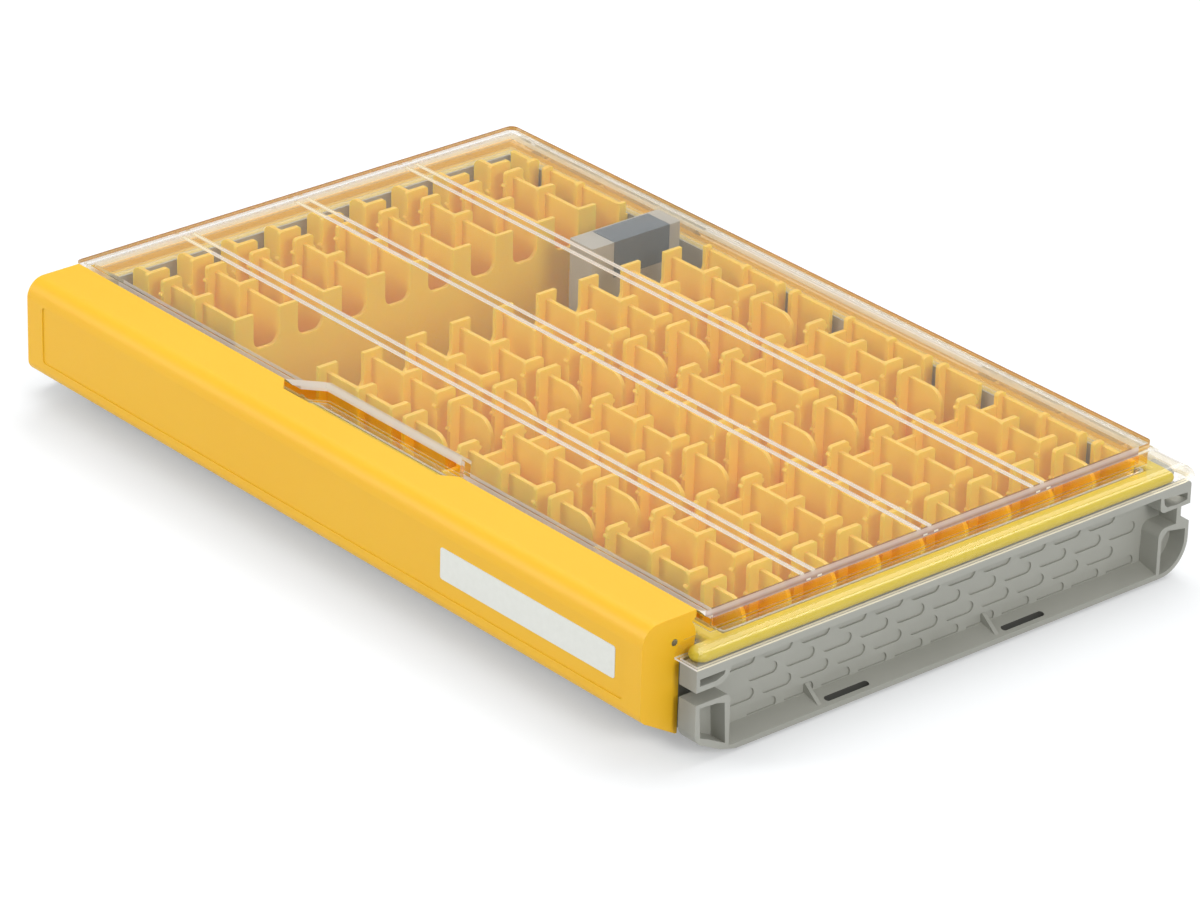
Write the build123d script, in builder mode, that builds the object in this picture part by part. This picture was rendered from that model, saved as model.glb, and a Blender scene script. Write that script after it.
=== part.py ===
from build123d import *
import os

os.makedirs("parts", exist_ok=True)

# Flat lure box: a grey tub with comb racks, a clear hinged lid with a yellow
# seal, and a full-width yellow latch bar.  X runs along the case, the latch
# faces -Y, the hinge is at +Y and Z = 0 is the underside of the foot pad.

# Case
case_length = 358.6
case_depth = 239.4
case_height = 49.9
lid_rise = 14.8

# Tub
end_zone = 8.3
front_zone = 31.6
rear_zone = 12.7
tub_wall = 2.5
floor_thickness = 2.2
rim_rise = 3.5
rim_thickness = 1.0
tub_corner = 4.0
tub_bore_corner = 1.0
pad_height = 1.2
pad_front_margin = 20.1
pad_rear_margin = 26.0
pad_end_margin = 6.0
seat_thickness = 2.6

# End frames: front post, rear block and the recessed side between them
post_setback = 13.5
post_depth = 14.9
chin_height = 10.3
chin_round = 4.3
chin_slope_rise = 1.8
chin_slope_run = 11.5
chin_toe_run = 18.2
heel_radius = 12.3
block_depth = 14.5
foot_flange = 2.0
foot_slope = 2.2
notch_low = 12.5
notch_height = 4.6
post_block_round = 2.2
bracket_flat = 9.0
bracket_turn = 2.0
pocket_depth = 7.0
rear_channel = 8.2
rear_web = 2.0
rear_notch_low = 12.8
rear_bracket_depth = 8.7
rear_bracket_round = 2.4
rear_slope_run = 3.6
rear_slope_drop = 3.3
d_block_height = 19.2
d_block_round = 3.3
d_block_rim = 1.6
web_thickness = 3.0
web_reach = 10.5

# Pockets in the end faces: corners as (back from the front edge, up from the level named)
post_slot_from_seat = ((1.5, -0.7), (1.6, -3.3), (8.5, -3.4), (11.9, -2.1), (12.4, -0.7))
post_pocket_from_seam = ((1.6, -13.9), (9.2, -14.4), (12.5, -15.3))
post_pocket_from_pad = ((13.3, 3.5), (6.1, 7.2), (2.4, 8.8))
block_slot_front = ((1.5, -0.7), (2.0, -3.1), (3.2, -4.4))
block_slot_rear = ((-5.4, -4.8), (-1.5, -4.2), (-1.6, -1.6))

# Shallow capsules sunk in the end walls
capsule_length = 13.0
capsule_height = 4.4
capsule_depth = 0.7
capsule_pitch = 16.4
capsule_row_gap = 6.5
capsule_low = 5.75
capsule_sill = 0.2
capsule_even_start = 24.6
capsule_odd_start = 14.6
capsule_rows = 4

# Wedges and drain slots on the foot flange
wedge_thickness = 1.6
wedge_height = 3.6
wedge_starts = (38.0, 118.2)
slot_lead = 3.4
slot_length = 19.4
slot_width = 2.4
slot_edge = 2.9

# Catch front, behind the latch
bay_setback = 23.2
rail_end_gap = 4.5
rail_thickness = 2.1
skin_setback = 3.0
skin_thickness = 2.0
skin_low = 6.0
front_rib_pitch = 46.8
front_rib_thickness = 1.8

# Hinge
hinge_inset = 2.9
hinge_drop = 1.5
hinge_pin_radius = 1.2
pin_clearance = 0.05
knuckle_radius = 2.8
knuckle_clearance = 0.3
relief_radius = 4.4
end_web = 2.8
lid_knuckle_insets = (88.3, 56.0, 24.7)
lid_knuckle_width = 14.0
outer_knuckle = 7.5
gusset_setback = 0.4
hinge_travel_room = 1.15

# Lid
lid_skin = 1.4
ledge_rise = 5.9
ledge_round = 4.8
lid_wall = 2.2
lid_wall_inset = 1.3
lid_front_setback = 27.3
top_thickness = 2.2
top_overhang = 1.0
top_rear_overhang = 1.5
top_front_setback = 23.0
top_corner = 3.0
top_bevel = 1.7
lip_drop = 0.85
window_mouth = 95.0
window_flat = 74.0
window_depth = 9.5
rib_width = 1.2
rib_height = 0.5
rib_pair_gap = 4.85
rib_pair_y = (-48.55, 3.45, 55.15)
rib_end_margin = 1.7

# Seal
seal_clearance = 0.3
seal_lift = 0.3
seal_front_margin = 1.6
seal_rear_reach = 4.9
seal_stub = 9.1
seal_round = 2.0
seal_fit = 0.05
seal_head_gap = 0.05

# Latch bar
latch_gap = 3.2
latch_wall = 2.5
latch_cap = 3.2
latch_side_gap = 0.5
latch_nose = 7.2
latch_chin_z = 18.5
latch_chin_drop = 4.2
latch_chin_in = 2.9
latch_bottom_z = 7.1
latch_bottom_y = 15.2
latch_rear_y = 16.0
latch_lip = 14.1
latch_lobe_drop = 2.1
latch_lobe_radius = 9.0
latch_pin_y = 13.8
latch_pin_rise = 5.7
latch_pin_radius = 1.2
latch_top_gap = 0.2
ear_radius = 3.0
ear_width = 5.8
ear_gap = 0.8
thumb_mouth = 95.6
thumb_flat = 84.0
thumb_depth = 5.0
panel_margin = 8.8
panel_depth = 0.5
panel_chin_gap = 2.0
panel_head = 7.5
panel_corner = 1.5
hook_clearance = 0.3
hook_head_gap = 0.2
hook_height = 2.7
hook_thickness = 2.0
hook_count = 8
hook_pitch = 40.0

# Front label
label_end_gap = 13.5
label_length = 88.8
label_lift = 5.8
label_height = 11.7
label_thickness = 0.25
label_corner = 1.0

# Comb racks
rack_clearance = 0.3
rack_floor = 1.2
rack_wall = 1.6
rack_row_pitch = 19.85
rack_last_channel = 19.8
rack_headroom = 0.6
rack_wall_drop = 2.6
rack_cross_drop = 7.6
rack_notch_drop = 14.0
rack_notch_round = 4.0
compartment_span = 48.3
left_rack_trim = 10.55
outer_rack_trim = 10.15
rear_wall_drop = 4.6
rear_tab_drop = 3.1
tab_width = 8.3
tab_thickness = 1.8
tab_corner = 1.2
cross_tab_width = 9.8
nub_reach = 1.0
nub_height = 1.5
start_nub_drop = 3.0
end_nub_drop = 5.4
cross_nub_drop = 10.6
mid_tab = 21.6
end_tab = 40.2
cross_tab = 48.6
arm_gap = 10.35
left_arm_gap = 3.6
outer_arm_gap = 2.5
arm_round = 6.4
left_arm_round = 3.5

# Moisture absorber holder, in the middle compartment at the rear wall
holder_gap = 17.9
holder_width = 13.0
holder_depth = 42.7
holder_headroom = 0.7
holder_corner = 1.0
holder_wall = 1.2
cover_thickness = 2.0
pack_clearance = 0.3
pack_corner = 2.0
holder_label_start = 10.5
holder_label_length = 26.5
holder_label_drop = 14.0
holder_label_thickness = 0.2

# Planes and lines that follow from the values above
end_x = case_length / 2
latch_y = -case_depth / 2
seam_height = case_height - lid_rise
rear_y = case_depth / 2
tub_x = end_x - end_zone
tub_front = latch_y + front_zone
tub_rear = rear_y - rear_zone
tub_mid_y = (tub_front + tub_rear) / 2
tub_depth = tub_rear - tub_front
bore_x = tub_x - tub_wall
bore_front = tub_front + tub_wall
bore_rear = tub_rear - tub_wall
floor_top = pad_height + floor_thickness
rim_z = seam_height + rim_rise
rim_x = bore_x + rim_thickness
rim_front = bore_front - rim_thickness
rim_rear = bore_rear + rim_thickness
base_rear = rear_y - lid_skin
seat_z = seam_height - seat_thickness
post_front = latch_y + post_setback
post_back = post_front + post_depth
block_front = base_rear - block_depth
flange_top = pad_height + foot_flange
notch_floor = seam_height - notch_low
notch_roof = notch_floor + notch_height
rear_bracket_low = seam_height - rear_bracket_depth
bay_y = latch_y + bay_setback
axis_y = rear_y - hinge_inset
axis_z = seam_height - hinge_drop
lid_wall_x = tub_x - lid_wall_inset
lid_wall_front = latch_y + lid_front_setback
lid_wall_rear = tub_rear - lid_wall_inset
lid_inner_rear = lid_wall_rear - lid_wall
ledge_z = seam_height + ledge_rise
under_z = ledge_z - lid_skin
top_low = case_height - top_thickness
top_front = latch_y + top_front_setback
latch_half = tub_x - latch_gap
bay_x = latch_half + latch_side_gap
rail_half = bay_x - rail_end_gap
cap_x = latch_half - latch_cap
latch_pin_at_y = latch_y + latch_pin_y
latch_pin_at_z = seam_height + latch_pin_rise
ear_x = cap_x - ear_gap
panel_y = latch_y + panel_depth
panel_low = latch_chin_z + panel_chin_gap
panel_high = case_height - panel_head
hook_high = seat_z - rail_thickness - hook_head_gap
hook_low = hook_high - hook_height
lid_knuckle_x = [end_x - inset for inset in lid_knuckle_insets]
rack_front = bore_front + rack_clearance
rack_rear = bore_rear - rack_clearance
rack_mid_y = (rack_front + rack_rear) / 2
rack_width = rack_rear - rack_front
rack_rows = 1 + int((rack_width - rack_last_channel - tab_width / 2) / rack_row_pitch)
row_y = [rack_rear - rack_last_channel - rack_row_pitch * k for k in range(rack_rows)]
rear_row_face = lid_inner_rear - rack_clearance
rack_tab_top = top_low - rib_height - rack_headroom
rack_wall_top = rack_tab_top - rack_wall_drop
rack_notch_low = rack_tab_top - rack_notch_drop
rear_wall_top = rack_tab_top - rear_wall_drop
rear_tab_top = rack_tab_top - rear_tab_drop
rack_pitch = (2 * bore_x - compartment_span + left_rack_trim + outer_rack_trim) / 4
left_length = rack_pitch - left_rack_trim
outer_length = rack_pitch - outer_rack_trim
left_start_x = left_length - bore_x
inner_start_x = left_start_x + compartment_span
middle_start_x = inner_start_x + rack_pitch
outer_start_x = middle_start_x + rack_pitch
holder_top = top_low - holder_headroom


# Grey tub: right half first, then mirrored
with BuildPart() as base_tub:
    with BuildSketch(Plane.XY.offset(pad_height)) as tub_plan:
        with Locations((0, tub_mid_y)):
            RectangleRounded(2 * tub_x, tub_depth, tub_corner)
    extrude(amount=seam_height - pad_height)
    with BuildSketch(Plane.XY.offset(seam_height)) as rim_plan:
        with Locations((0, (rim_front + rim_rear) / 2)):
            RectangleRounded(2 * rim_x, rim_rear - rim_front, tub_bore_corner + rim_thickness)
    extrude(amount=rim_rise)

    # End frame silhouette, as a block that the recess and the pockets open
    with BuildSketch(Plane.YZ.offset(tub_x)) as end_frame:
        with BuildLine():
            Line((post_front, seam_height), (post_front, pad_height + chin_height))
            ThreePointArc(
                (post_front, pad_height + chin_height),
                (post_front + 0.3 * chin_round, pad_height + 0.72 * chin_height),
                (post_front + chin_round, pad_height + 0.525 * chin_height),
            )
            Polyline(
                (post_front + chin_round, pad_height + 0.525 * chin_height),
                (post_front + chin_slope_run, pad_height + chin_slope_rise),
                (post_front + chin_toe_run, pad_height),
                (base_rear - heel_radius, pad_height),
            )
            RadiusArc(
                (base_rear - heel_radius, pad_height),
                (base_rear, pad_height + heel_radius),
                -heel_radius,
            )
            Polyline(
                (base_rear, pad_height + heel_radius),
                (base_rear, seam_height),
                (post_front, seam_height),
            )
        make_face()
    extrude(amount=end_zone)

    # Webs that tie the front post and the rear block to the tub's corners
    with BuildSketch(Plane.XY.offset(pad_height + chin_height)) as corner_web:
        with Locations((bay_x + web_thickness / 2, tub_front - web_reach / 2 + tub_corner / 2)):
            Rectangle(web_thickness, web_reach + tub_corner)
        rear_web_length = block_front + rear_channel + rear_web - tub_rear + tub_corner
        with Locations((bay_x + web_thickness / 2, tub_rear - tub_corner + rear_web_length / 2)):
            Rectangle(web_thickness, rear_web_length)
    extrude(amount=seam_height - pad_height - chin_height)

    # Open recess along the end wall, with the notch through the post ahead of it
    with BuildSketch(Plane.YZ.offset(tub_x)) as recess:
        with BuildLine():
            Line((post_back, flange_top), (post_back, notch_floor - post_block_round))
            RadiusArc(
                (post_back, notch_floor - post_block_round),
                (post_back - post_block_round, notch_floor),
                -post_block_round,
            )
            Polyline(
                (post_back - post_block_round, notch_floor),
                (post_front - 1, notch_floor),
                (post_front - 1, notch_roof),
                (post_front + bracket_flat, notch_roof),
            )
            ThreePointArc(
                (post_front + bracket_flat, notch_roof),
                (post_back - bracket_turn, notch_roof + 0.75 * bracket_turn),
                (post_back, seat_z),
            )
            Polyline(
                (post_back, seat_z),
                (block_front, seat_z),
                (block_front, rear_bracket_low + rear_bracket_round),
            )
            RadiusArc(
                (block_front, rear_bracket_low + rear_bracket_round),
                (block_front + rear_bracket_round, rear_bracket_low),
                -rear_bracket_round,
            )
            Polyline(
                (block_front + rear_bracket_round, rear_bracket_low),
                (block_front + rear_channel, rear_bracket_low),
                (block_front + rear_channel, pad_height + d_block_height),
                (block_front + d_block_round, pad_height + d_block_height),
            )
            RadiusArc(
                (block_front + d_block_round, pad_height + d_block_height),
                (block_front, pad_height + d_block_height - d_block_round),
                -d_block_round,
            )
            Polyline(
                (block_front, pad_height + d_block_height - d_block_round),
                (block_front, flange_top),
                (post_back, flange_top),
            )
        make_face()
    extrude(amount=end_zone, mode=Mode.SUBTRACT)

    # Sloping foot flange inside the recess
    with BuildSketch(Plane.XZ.offset(-block_front)) as foot_slope_face:
        with BuildLine():
            Polyline(
                (tub_x, flange_top),
                (end_x, flange_top),
                (tub_x, flange_top + foot_slope),
                close=True,
            )
        make_face()
    extrude(amount=block_front - post_back)

    # Notch across the rear edge, its floor sloping down to the rear
    with BuildSketch(Plane.YZ.offset(tub_x)) as rear_notch:
        with BuildLine():
            Polyline(
                (block_front + rear_channel + rear_web, rear_bracket_low),
                (block_front + rear_channel + rear_web, seam_height - rear_notch_low),
                (base_rear - rear_slope_run, seam_height - rear_notch_low),
                (base_rear + 1, seam_height - rear_notch_low - rear_slope_drop),
                (base_rear + 1, rear_bracket_low),
                close=True,
            )
        make_face()
    extrude(amount=end_zone, mode=Mode.SUBTRACT)

    # Deep pockets in the end faces of the post and of the rear block
    with BuildSketch(Plane.YZ.offset(end_x - pocket_depth)) as pockets:
        with BuildLine():
            Polyline(*[(post_front + y, seat_z + z) for y, z in post_slot_from_seat], close=True)
        make_face()
        with BuildLine():
            Polyline(
                *[(post_front + y, seam_height + z) for y, z in post_pocket_from_seam],
                *[(post_front + y, pad_height + z) for y, z in post_pocket_from_pad],
                close=True,
            )
        make_face()
        with BuildLine():
            Polyline(
                *[(block_front + y, seat_z + z) for y, z in block_slot_front],
                *[(base_rear + y, seat_z + z) for y, z in block_slot_rear],
                close=True,
            )
        make_face()
        with BuildLine():
            Polyline(
                (block_front + d_block_rim, pad_height + d_block_rim),
                (base_rear - heel_radius, pad_height + d_block_rim),
            )
            RadiusArc(
                (base_rear - heel_radius, pad_height + d_block_rim),
                (base_rear - d_block_rim, pad_height + heel_radius),
                -(heel_radius - d_block_rim),
            )
            Polyline(
                (base_rear - d_block_rim, pad_height + heel_radius),
                (base_rear - d_block_rim, pad_height + d_block_height - 3.2),
                (block_front + d_block_round + 1, pad_height + d_block_height - d_block_rim),
                (block_front + d_block_rim, pad_height + d_block_height - d_block_round - 1),
                (block_front + d_block_rim, pad_height + d_block_rim),
            )
        make_face()
    extrude(amount=pocket_depth, mode=Mode.SUBTRACT)

    # Seal seat round the tub, and the catch rail in front of it
    with BuildSketch(Plane.XY.offset(seat_z)) as seat_plan:
        with Locations((tub_x / 2, (bay_y + base_rear) / 2)):
            Rectangle(tub_x, base_rear - bay_y)
    extrude(amount=seat_thickness)
    with BuildSketch(Plane.XY.offset(seat_z - rail_thickness)) as rail_plan:
        with Locations((rail_half / 2, (post_front + tub_front) / 2)):
            Rectangle(rail_half, tub_front - post_front)
    extrude(amount=rail_thickness)
    with BuildSketch(Plane.XY.offset(skin_low)) as front_plan:
        with Locations((rail_half / 2, post_front + skin_setback + skin_thickness / 2)):
            Rectangle(rail_half, skin_thickness)
        rib_depth = tub_front - post_front - skin_setback
        for rib_x in [front_rib_pitch * (k + 0.5) for k in range(3)] + [rail_half]:
            with Locations((rib_x - front_rib_thickness / 2, tub_front - rib_depth / 2)):
                Rectangle(front_rib_thickness, rib_depth)
    extrude(amount=seat_z - rail_thickness - skin_low)

    # Shallow capsules sunk in the end wall, the rows staggered
    with BuildSketch(Plane.YZ.offset(tub_x)) as capsules:
        for row in range(capsule_rows):
            first = capsule_even_start if row % 2 == 0 else capsule_odd_start
            reach = tub_front + first - capsule_length / 2
            height = pad_height + capsule_low + capsule_row_gap * row
            count = 1 + int((block_front - capsule_length / 2 - reach) / capsule_pitch)
            row_points = [(reach + capsule_pitch * k, height) for k in range(count)]
            with Locations(*row_points):
                SlotOverall(capsule_length, capsule_height)
        with Locations(((post_front + base_rear) / 2, flange_top + foot_slope + capsule_sill - case_height)):
            Rectangle(case_depth, 2 * case_height, mode=Mode.SUBTRACT)
    extrude(amount=-capsule_depth, mode=Mode.SUBTRACT)

    # Wedges on the foot flange, each with a drain slot beside it
    for wedge_start in wedge_starts:
        wedge_y = tub_front + wedge_start
        with BuildSketch(Plane.XZ.offset(-wedge_y - wedge_thickness / 2)) as wedge:
            with BuildLine():
                Polyline(
                    (tub_x - capsule_depth, flange_top),
                    (end_x - 1, flange_top),
                    (tub_x, flange_top + foot_slope + wedge_height),
                    (tub_x - capsule_depth, flange_top + foot_slope + wedge_height),
                    close=True,
                )
            make_face()
        extrude(amount=wedge_thickness)
        with BuildSketch(Plane.XY.offset(pad_height)) as drain:
            with Locations((end_x - slot_edge, wedge_y + slot_lead + slot_length / 2)):
                SlotOverall(slot_length, slot_width, rotation=90)
        extrude(amount=foot_flange + foot_slope, mode=Mode.SUBTRACT)

    # Hinge relief along the rear edge, then the tub's knuckles on their gussets
    with BuildSketch(Plane.YZ) as relief:
        with Locations((axis_y, axis_z)):
            Circle(relief_radius)
    extrude(amount=end_x - end_web, mode=Mode.SUBTRACT)
    half = lid_knuckle_width / 2 + knuckle_clearance
    inner_edge = lid_knuckle_x[0] - half
    outer_edge = lid_knuckle_x[-1] + half
    knuckle_spans = [(inner_edge - outer_knuckle, inner_edge)]
    for left_x, right_x in zip(lid_knuckle_x[:-1], lid_knuckle_x[1:]):
        knuckle_spans.append((left_x + half, right_x - half))
    knuckle_spans.append((outer_edge, outer_edge + outer_knuckle))
    for span_start, span_end in knuckle_spans:
        with BuildSketch(Plane.YZ.offset(span_start)) as base_knuckle:
            with Locations((axis_y, axis_z)):
                Circle(knuckle_radius)
            gusset_y = axis_y - gusset_setback
            with Locations(((tub_rear + gusset_y) / 2, axis_z - relief_radius / 2)):
                Rectangle(gusset_y - tub_rear, relief_radius)
        extrude(amount=span_end - span_start)
    with BuildSketch(Plane.YZ) as base_bores:
        with Locations((axis_y, axis_z)):
            Circle(hinge_pin_radius)
    extrude(amount=end_x - end_web, mode=Mode.SUBTRACT)
    web_corner = [
        edge
        for edge in base_tub.edges().filter_by(Axis.X)
        if abs(edge.center().Y - base_rear) < 0.01
        and abs(edge.center().Z - seam_height) < 0.01
        and edge.center().X > tub_x
    ]
    fillet(web_corner, radius=hinge_drop - 0.01)

    split(bisect_by=Plane.YZ, keep=Keep.TOP)
    mirror(about=Plane.YZ)

    # Foot pad and the tub's bore
    with BuildSketch() as pad_plan:
        pad_depth = tub_depth - pad_front_margin - pad_rear_margin
        with Locations((0, tub_front + pad_front_margin + pad_depth / 2)):
            RectangleRounded(2 * (tub_x - pad_end_margin), pad_depth, tub_corner)
    extrude(amount=pad_height)
    with BuildSketch(Plane.XY.offset(floor_top)) as bore_plan:
        with Locations((0, (bore_front + bore_rear) / 2)):
            RectangleRounded(2 * bore_x, bore_rear - bore_front, tub_bore_corner)
    extrude(amount=case_height, mode=Mode.SUBTRACT)
base_tub.part.label = "base_tub"
export_step(base_tub.part, "parts/base_tub.step")


# Hinge pins, one for each group of knuckles
pin_start = knuckle_spans[0][0]
pin_length = knuckle_spans[-1][1] - pin_start
with BuildPart() as hinge_pin_right:
    with BuildSketch(Plane.YZ.offset(pin_start)) as pin_section:
        with Locations((axis_y, axis_z)):
            Circle(hinge_pin_radius)
    extrude(amount=pin_length)
hinge_pin_right.part.label = "hinge_pin_right"
export_step(hinge_pin_right.part, "parts/hinge_pin_right.step")

with BuildPart() as hinge_pin_left:
    add(hinge_pin_right.part.mirror(Plane.YZ))
hinge_pin_left.part.label = "hinge_pin_left"
export_step(hinge_pin_left.part, "parts/hinge_pin_left.step")


def lid_wall_plan(inset):
    """Plan of the lid's upright walls, stepped in at the window, in by inset."""
    step_y = top_front + window_depth + top_overhang
    step_x = window_flat / 2 + 0.4 * top_overhang
    lead = (lid_wall_front - step_y) * (window_mouth - window_flat) / 2 / window_depth
    with BuildSketch() as plan:
        with BuildLine():
            Polyline(
                (0, step_y),
                (step_x, step_y),
                (step_x - lead, lid_wall_front),
                (lid_wall_x, lid_wall_front),
                (lid_wall_x, lid_wall_rear),
                (0, lid_wall_rear),
            )
            mirror(about=Plane.YZ)
        make_face()
        if inset > 0:
            offset(amount=-inset, kind=Kind.INTERSECTION)
    return plan.sketch


# Rounded block of the lid's flange, and the space inside it where the seal runs
flange_mid_y = (post_front + rear_y) / 2
with BuildPart() as flange_block:
    with BuildSketch(Plane.XY.offset(seam_height)) as flange_plan:
        with Locations((0, flange_mid_y)):
            Rectangle(case_length, rear_y - post_front)
    extrude(amount=ledge_rise)
    fillet(flange_block.edges().group_by(Axis.Z)[-1], radius=ledge_round)

with BuildPart() as flange_space:
    with BuildSketch(Plane.XY.offset(seam_height - 1)) as space_plan:
        with Locations((0, flange_mid_y)):
            Rectangle(case_length - 2 * lid_skin, rear_y - post_front - 2 * lid_skin)
    extrude(amount=under_z - seam_height + 1)
    fillet(flange_space.edges().group_by(Axis.Z)[-1], radius=seal_round)

# Walls that close the flange's front corners beside the latch
with BuildPart() as corner_walls:
    add(flange_block.part)
    with Locations((0, flange_mid_y, seam_height)):
        Box(2 * bay_x, case_depth, 2 * case_height, mode=Mode.SUBTRACT)
    for side in (-1, 1):
        outer_x = side * (bay_x + lid_skin + end_zone)
        with Locations((outer_x, flange_mid_y, seam_height)):
            Box(2 * end_zone, case_depth, 2 * case_height, mode=Mode.SUBTRACT)
    with Locations((0, bay_y + lid_skin + case_depth / 2, seam_height)):
        Box(2 * case_length, case_depth, 2 * case_height, mode=Mode.SUBTRACT)

# Clear lid
with BuildPart() as lid_shell:
    add(flange_block.part)
    add(flange_space.part, mode=Mode.SUBTRACT)

    # Bay for the latch, closed by a skirt and by the two corner walls
    with BuildSketch(Plane.XY.offset(seam_height)) as bay:
        with Locations((0, (bay_y + latch_y) / 2)):
            Rectangle(2 * bay_x, bay_y - latch_y)
    extrude(amount=ledge_z, mode=Mode.SUBTRACT)
    with BuildSketch(Plane.XY.offset(seam_height)) as skirt:
        with Locations((0, bay_y + lid_skin / 2)):
            Rectangle(2 * bay_x, lid_skin)
    extrude(amount=ledge_rise)
    add(corner_walls.part)

    # Upright walls, the top plate with its window, and the drip lip
    extrude(lid_wall_plan(lid_wall), amount=top_low, mode=Mode.SUBTRACT)
    extrude(lid_wall_plan(0).moved(Location((0, 0, under_z))), amount=top_low - under_z)
    extrude(lid_wall_plan(lid_wall), amount=top_low, mode=Mode.SUBTRACT)
    with BuildSketch(Plane.XY.offset(top_low - lip_drop)) as lip:
        lip_x = lid_wall_x + top_overhang
        lip_rear = lid_wall_rear + top_rear_overhang
        with Locations((0, (lid_wall_front + lip_rear) / 2)):
            Rectangle(2 * lip_x, lip_rear - lid_wall_front)
        add(lid_wall_plan(lid_wall / 2), mode=Mode.SUBTRACT)
        with Locations((0, lid_wall_front)):
            Rectangle(window_mouth, 2 * window_depth, mode=Mode.SUBTRACT)
    extrude(amount=lip_drop)
    with BuildSketch(Plane.XY.offset(top_low)) as top_plan:
        with Locations((0, (top_front + lip_rear) / 2)):
            RectangleRounded(2 * lip_x, lip_rear - top_front, top_corner)
        with BuildLine():
            Polyline(
                (-window_flat / 2, top_front + window_depth),
                (window_flat / 2, top_front + window_depth),
                (window_mouth / 2, top_front),
                (window_mouth / 2, top_front - window_depth),
                (-window_mouth / 2, top_front - window_depth),
                (-window_mouth / 2, top_front),
                close=True,
            )
        make_face(mode=Mode.SUBTRACT)
    extrude(amount=top_thickness)
    with BuildSketch(Plane.YZ.offset(-lip_x)) as bevel:
        with BuildLine():
            Polyline(
                (top_front - 1, top_low - 1),
                (top_front - 1, case_height),
                (top_front, case_height),
                (top_front + top_bevel, top_low),
                (top_front + top_bevel, top_low - 1),
                close=True,
            )
        make_face()
    extrude(amount=2 * lip_x, mode=Mode.SUBTRACT)

    # Three pairs of stiffening ribs under the top plate
    with BuildSketch(Plane.XY.offset(top_low - rib_height)) as ribs:
        for pair_y in rib_pair_y:
            with Locations((0, pair_y)), GridLocations(1, rib_pair_gap, 1, 2):
                Rectangle(2 * (lid_wall_x - rib_end_margin), rib_width)
    extrude(amount=rib_height)

    # Ears for the latch
    for side in (-1, 1):
        with BuildSketch(Plane.YZ.offset(side * (ear_x - ear_width / 2))) as ear:
            with Locations((latch_pin_at_y, latch_pin_at_z)):
                Circle(ear_radius)
            arm_length = bay_y + lid_skin / 2 - latch_pin_at_y
            arm_at = (latch_pin_at_y + arm_length / 2, latch_pin_at_z - ear_radius / 2)
            with Locations(arm_at):
                Rectangle(arm_length, ear_radius)
            with Locations((latch_pin_at_y, latch_pin_at_z)):
                Circle(latch_pin_radius, mode=Mode.SUBTRACT)
        extrude(amount=ear_width / 2, both=True)

    # Hinge: arms down to the axis, room for the tub's knuckles, and the pin's bore
    for side in (-1, 1):
        for knuckle_x in lid_knuckle_x:
            with BuildSketch(Plane.YZ.offset(side * knuckle_x)) as lid_knuckle:
                with Locations((axis_y, axis_z)):
                    Circle(knuckle_radius)
                with Locations((axis_y, (axis_z + under_z) / 2)):
                    Rectangle(2 * knuckle_radius, under_z - axis_z)
                with Locations((axis_y, axis_z)):
                    Circle(hinge_pin_radius + pin_clearance, mode=Mode.SUBTRACT)
            extrude(amount=lid_knuckle_width / 2, both=True)
        for span_start, span_end in knuckle_spans:
            with BuildSketch(Plane.YZ.offset(side * (span_start + span_end) / 2)) as room:
                with Locations((axis_y, axis_z)):
                    Circle(knuckle_radius + knuckle_clearance)
            reach = (span_end - span_start) / 2 + knuckle_clearance - 0.01
            extrude(amount=reach, both=True, mode=Mode.SUBTRACT)
        with BuildSketch(Plane.YZ.offset(side * end_x)) as swing_room:
            with BuildLine():
                Polyline(
                    (axis_y - hinge_drop, seam_height),
                    (rear_y, seam_height + hinge_travel_room),
                    (rear_y + 1, seam_height - 1),
                    (axis_y - hinge_drop, seam_height - 1),
                    close=True,
                )
            make_face()
        extrude(amount=-side * (end_web + knuckle_clearance), mode=Mode.SUBTRACT)
lid_shell.part.label = "lid_shell"
export_step(lid_shell.part, "parts/lid_shell.step")


# Yellow seal ring in the lid's flange, with a stub in each front corner
seal_in_x = rim_x + seal_clearance
seal_out_x = end_x - lid_skin
seal_front = bay_y + seal_front_margin
seal_rear = tub_rear + seal_rear_reach
ring_front = rim_front - seal_clearance
ring_rear = rim_rear + seal_clearance
with BuildPart() as lid_seal:
    with BuildSketch(Plane.XY.offset(seam_height + seal_lift)) as ring:
        with Locations((0, (seal_front + seal_rear) / 2)):
            RectangleRounded(2 * seal_out_x, seal_rear - seal_front, seal_round)
        with Locations((0, (ring_front + ring_rear) / 2)):
            Rectangle(2 * seal_in_x, ring_rear - ring_front, mode=Mode.SUBTRACT)
        for side in (-1, 1):
            stub_length = seal_stub + ring_front - seal_front
            stub_at = (side * (seal_in_x + seal_out_x) / 2, ring_front - stub_length / 2)
            with Locations(stub_at):
                SlotOverall(stub_length, seal_out_x - seal_in_x, rotation=90)
    extrude(amount=under_z - seal_head_gap - seam_height - seal_lift)
    seal_edges = lid_seal.edges().group_by(Axis.Z)
    fillet(seal_edges[0] + seal_edges[-1], radius=seal_round + seal_fit)
lid_seal.part.label = "lid_seal"
export_step(lid_seal.part, "parts/lid_seal.step")


# Latch pins in the lid's ears, flush with the bar's caps
with BuildPart() as latch_pin_right:
    with BuildSketch(Plane.YZ.offset(ear_x - ear_width)) as latch_pin_section:
        with Locations((latch_pin_at_y, latch_pin_at_z)):
            Circle(latch_pin_radius)
    extrude(amount=latch_half - ear_x + ear_width)
latch_pin_right.part.label = "latch_pin_right"
export_step(latch_pin_right.part, "parts/latch_pin_right.step")

with BuildPart() as latch_pin_left:
    add(latch_pin_right.part.mirror(Plane.YZ))
latch_pin_left.part.label = "latch_pin_left"
export_step(latch_pin_left.part, "parts/latch_pin_left.step")


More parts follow.
